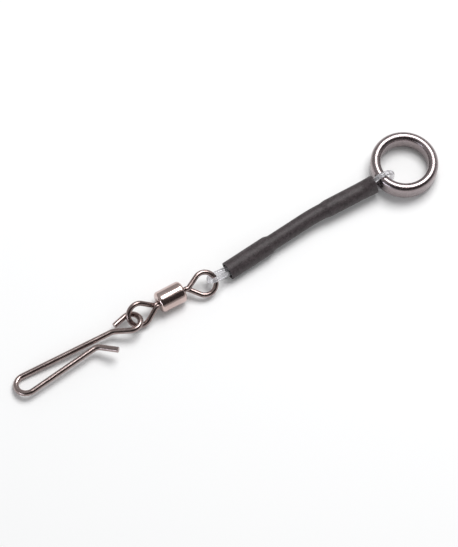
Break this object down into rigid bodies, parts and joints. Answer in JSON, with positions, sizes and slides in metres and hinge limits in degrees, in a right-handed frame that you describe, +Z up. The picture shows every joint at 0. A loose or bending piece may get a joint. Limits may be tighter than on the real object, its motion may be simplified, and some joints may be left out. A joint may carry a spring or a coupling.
{
  "type": "breakaway line connector",
  "caption": "Breakaway line connector: a polished ring and a barrel swivel joined by a sleeved, crimped clear line, with a bent-wire spring clip on the swivel.",
  "frame": {"origin": "centre of the ring's bore", "axes": "+X from the clip towards the ring, +Y the far side as it lies, +Z up from the surface it lies on"},
  "size_m": [0.1086, 0.015, 0.0066],
  "materials": {
    "ring_steel": "polished",
    "clear_nylon": "clear, smooth",
    "sleeve_plastic": "matte, fine grain",
    "crimp_metal": "pressed",
    "barrel_steel": "polished",
    "eye_wire": "bright drawn wire",
    "clip_wire": "bright drawn wire"
  },
  "bodies": {
    "ring": {"ring": "ring_steel"},
    "leader": {"mono_strand": "clear_nylon", "sleeve": "sleeve_plastic", "crimp_ring_end": "crimp_metal", "crimp_swivel_end": "crimp_metal"},
    "line_side": {"line_eye": "eye_wire"},
    "barrel": {"swivel_barrel": "barrel_steel"},
    "clip_side": {"clip_eye": "eye_wire"},
    "clip": {"spring_clip": "clip_wire"}
  },
  "joints": [
    {"name": "leader_turn", "type": "hinge", "parent": "ring", "child": "leader", "pos_m": [0, 0, 0], "axis": [0.0922, 0, 0.9957], "continuous": true},
    {"name": "swivel_swing", "type": "hinge", "parent": "leader", "child": "line_side", "pos_m": [-0.05004, -0.00012, 0.00013], "axis": [-0.037, 0.8981, 0.4382], "range_deg": [-60, 60]},
    {"name": "barrel_spin", "type": "hinge", "parent": "line_side", "child": "barrel", "pos_m": [-0.06054, 0.00133, -0.00027], "axis": [0.9983, -0.0576, 0], "continuous": true},
    {"name": "clip_eye_spin", "type": "hinge", "parent": "barrel", "child": "clip_side", "pos_m": [-0.06054, 0.00133, -0.00027], "axis": [0.9983, -0.0576, 0], "continuous": true},
    {"name": "clip_swing", "type": "hinge", "parent": "clip_side", "child": "clip", "pos_m": [-0.07114, 0.001, -0.00027], "axis": [0.2169, -0.7229, -0.656], "range_deg": [-35, 40]}
  ]
}
